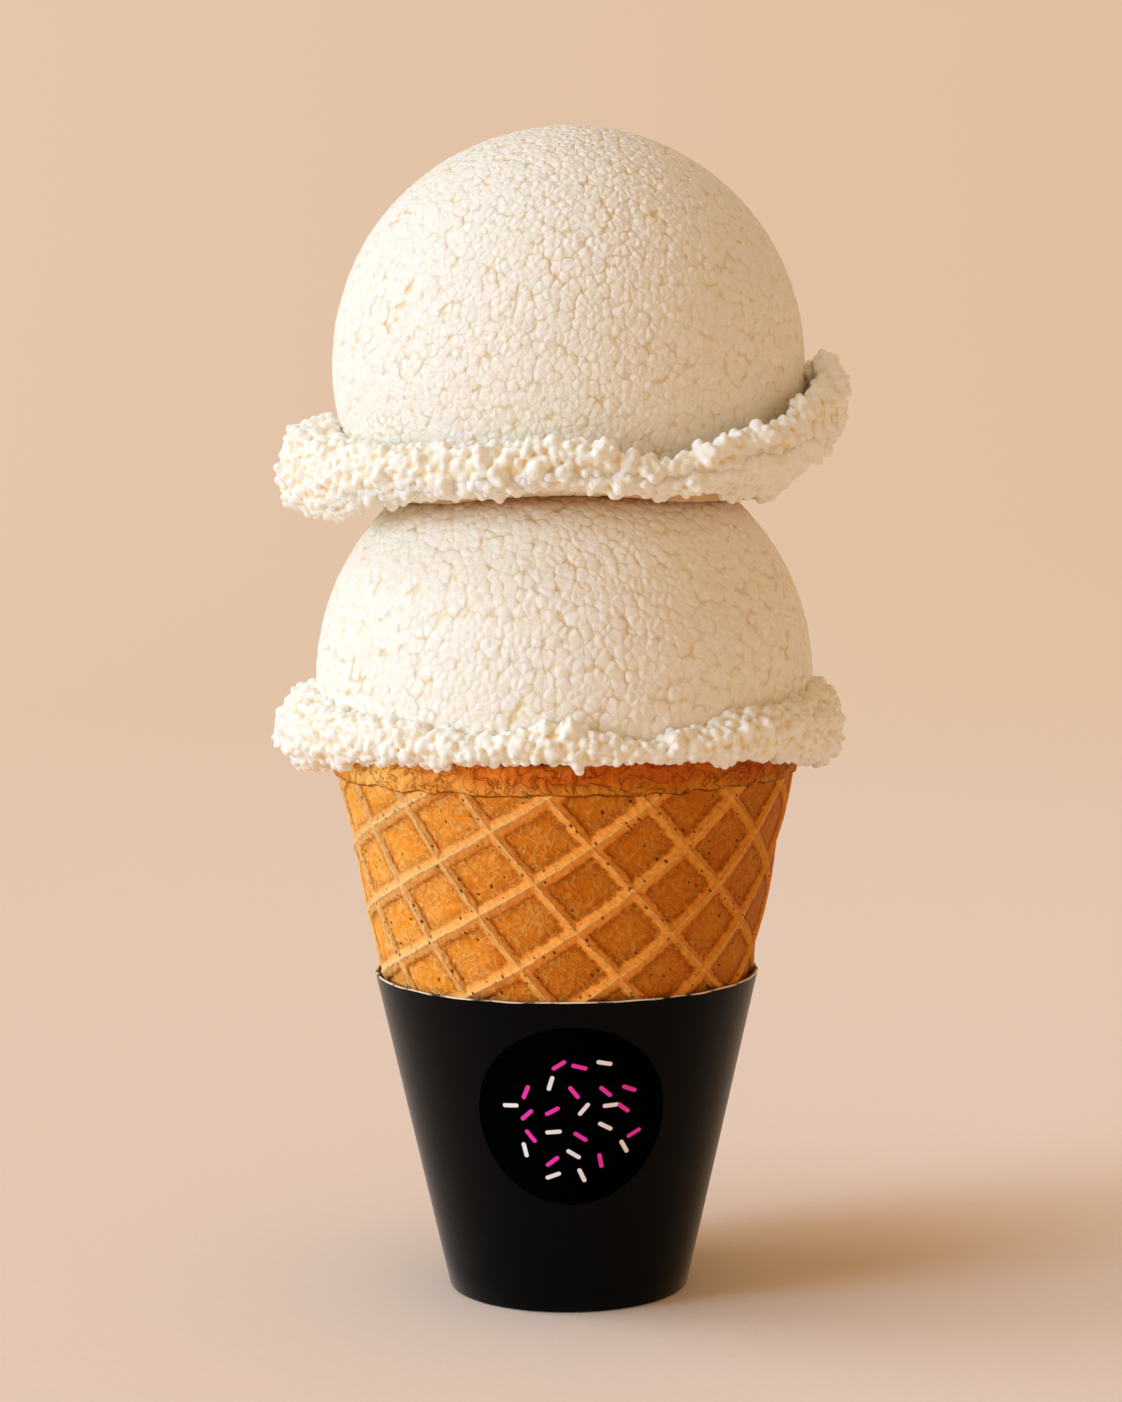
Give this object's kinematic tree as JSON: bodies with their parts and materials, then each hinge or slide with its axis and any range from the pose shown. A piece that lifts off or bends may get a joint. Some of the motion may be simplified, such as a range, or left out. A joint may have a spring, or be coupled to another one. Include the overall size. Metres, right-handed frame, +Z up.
{
  "type": "ice cream cone with two scoops",
  "caption": "Two vanilla ice cream scoops with ragged collars, stacked on a flat-bottomed waffle cup standing in a black card sleeve with a round sticker.",
  "frame": {"origin": "centre of the sleeve's flat base, on the surface it stands on", "axes": "+Z up the cone's axis, -Y towards the front with the round sticker, +X to the right seen from the front"},
  "size_m": [0.0758, 0.0725, 0.1489],
  "materials": {
    "card": "satin black coated card, pale at its cut edge",
    "sticker": "deep black coated paper with a plain sprinkle pattern",
    "waffle": "baked wafer, golden ribs and browner pockets",
    "ice_cream": "cream-white, grainy, soft satin"
  },
  "bodies": {
    "root": {"card_sleeve": "card", "round_label": "sticker", "waffle_cup": "waffle", "lower_scoop": "ice_cream", "upper_scoop": "ice_cream"}
  },
  "joints": []
}
